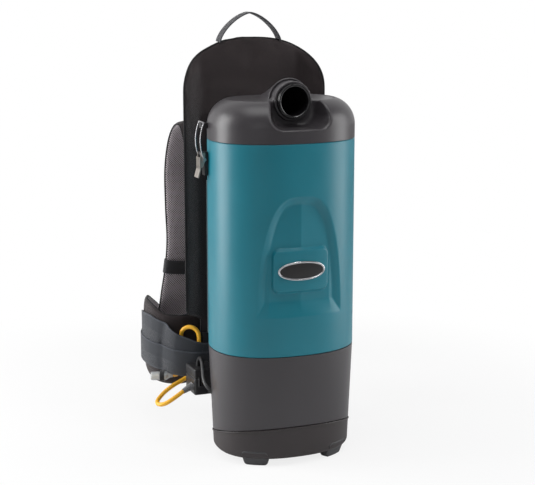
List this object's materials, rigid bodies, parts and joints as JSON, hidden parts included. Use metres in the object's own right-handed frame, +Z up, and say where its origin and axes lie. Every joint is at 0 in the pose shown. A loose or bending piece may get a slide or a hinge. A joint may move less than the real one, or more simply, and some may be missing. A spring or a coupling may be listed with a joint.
{
  "type": "backpack vacuum cleaner",
  "caption": "Backpack vacuum cleaner: upright tank over a motor housing, latched lid with swivelling hose inlet, padded harness with hip belt, switch box and short corded plug.",
  "frame": {"origin": "on the floor under the middle of the object's box", "axes": "+Z up, the hose inlet and the tank's front face -Y, the wearer stands at +Y"},
  "size_m": [0.3952, 0.4582, 0.7941],
  "materials": {
    "teal_shell": "satin moulded, fine grain",
    "charcoal_shell": "satin moulded",
    "black_plastic": "moulded",
    "badge_plate": "blank oval plate with a bright rim",
    "grey_trim": "satin",
    "steel": "plain",
    "can_metal": "pressed",
    "copper": "copper windings and segments",
    "carbon": "carbon brush",
    "latch_grey": "silver grey",
    "rubber": "matt",
    "foam": "open foam",
    "filter_paper": "pleated medium",
    "filter_cloth": "fine cloth",
    "card": "plain",
    "bag_paper": "two-ply paper",
    "black_fabric": "coarse woven nylon",
    "grey_mesh": "spacer mesh with diamond holes",
    "webbing": "ribbed webbing",
    "grey_relief": "ribbed",
    "lead_jacket": "smooth jacket",
    "cord_jacket": "smooth jacket, safety yellow",
    "clear_plastic": "clear moulded",
    "brass": "plated blades"
  },
  "bodies": {
    "body": {"tank": "teal_shell", "badge": "badge_plate", "tank_trim": "grey_trim", "motor_housing": "charcoal_shell", "base_cap": "black_plastic", "feet": "charcoal_shell", "screws": "steel", "motor_deck": "black_plastic", "motor_mounts": "rubber", "field_can": "steel", "bearings": "steel", "brushes": "carbon", "fan_shroud": "can_metal", "exhaust_foam": "foam", "hepa_filter": "filter_paper", "cloth_filter": "filter_cloth", "bag_bridge": "black_plastic", "bag_collar": "card", "filter_bag": "bag_paper", "latch_bases": "black_plastic", "frame_brackets": "black_plastic", "harness_board": "black_plastic", "back_pad": "black_fabric", "lumbar_pad": "grey_mesh", "carry_handle": "webbing", "shoulder_strap_left": "grey_mesh", "shoulder_strap_right": "grey_mesh", "strap_sliders": "webbing", "strap_webbing": "webbing", "ladder_locks": "black_plastic", "hip_wing_left": "black_fabric", "hip_wing_right": "black_fabric", "hip_belt": "webbing", "side_belts": "webbing", "buckle_socket": "black_plastic", "switch_box": "black_plastic", "cord_relief": "grey_relief", "motor_lead": "lead_jacket", "lead_grommet": "rubber", "power_cord": "cord_jacket", "plug_loop": "webbing", "plug_body": "clear_plastic", "plug_blades": "brass"},
    "lid": {"lid": "charcoal_shell", "lid_gasket": "rubber", "lid_keepers": "black_plastic", "inlet_bushing": "black_plastic", "inlet_elbow": "black_plastic"},
    "collar": {"inlet_collar": "black_plastic"},
    "rotor": {"motor_shaft": "steel", "armature": "copper", "commutator": "copper", "impellers": "can_metal"},
    "lever_left": {"latch_lever_left": "latch_grey"},
    "bail_left": {"latch_bail_left": "steel"},
    "lever_right": {"latch_lever_right": "latch_grey"},
    "bail_right": {"latch_bail_right": "steel"},
    "rocker": {"rocker_switch": "rubber"},
    "tongue": {"buckle_tongue": "black_plastic"},
    "cap": {"blade_cap": "clear_plastic"}
  },
  "joints": [
    {"name": "lid_lift", "type": "slide", "parent": "body", "child": "lid", "axis": [0, 0, 1], "range_m": [0, 0.2]},
    {"name": "inlet_swivel", "type": "hinge", "parent": "lid", "child": "collar", "pos_m": [0, -0.12715, 0.647], "axis": [0, 1, 0], "continuous": true},
    {"name": "motor_spin", "type": "hinge", "parent": "body", "child": "rotor", "pos_m": [0, -0.12715, 0.1], "axis": [0, 0, 1], "continuous": true},
    {"name": "latch_left", "type": "hinge", "parent": "body", "child": "lever_left", "pos_m": [-0.14, -0.10215, 0.552], "axis": [0, 1, 0], "range_deg": [0, 150]},
    {"name": "bail_swing_left", "type": "hinge", "parent": "lever_left", "child": "bail_left", "pos_m": [-0.14, -0.10215, 0.543], "axis": [0, 1, 0], "range_deg": [-150, 0]},
    {"name": "latch_right", "type": "hinge", "parent": "body", "child": "lever_right", "pos_m": [0.14, -0.10215, 0.552], "axis": [0, -1, 0], "range_deg": [0, 150]},
    {"name": "bail_swing_right", "type": "hinge", "parent": "lever_right", "child": "bail_right", "pos_m": [0.14, -0.10215, 0.543], "axis": [0, -1, 0], "range_deg": [-150, 0]},
    {"name": "rocker_tip", "type": "hinge", "parent": "body", "child": "rocker", "pos_m": [-0.116, -0.03895, 0.115], "axis": [0, 0, -1], "range_deg": [0, 14]},
    {"name": "buckle_pull", "type": "slide", "parent": "body", "child": "tongue", "axis": [-1, 0, 0], "range_m": [0, 0.03]},
    {"name": "cap_pull", "type": "slide", "parent": "body", "child": "cap", "axis": [-0.932, 0.3601, -0.0424], "range_m": [0, 0.02]}
  ],
  "couplings": [
    {"joint": "bail_swing_left", "follows": "latch_left", "ratio": -1},
    {"joint": "bail_swing_right", "follows": "latch_right", "ratio": -1}
  ]
}
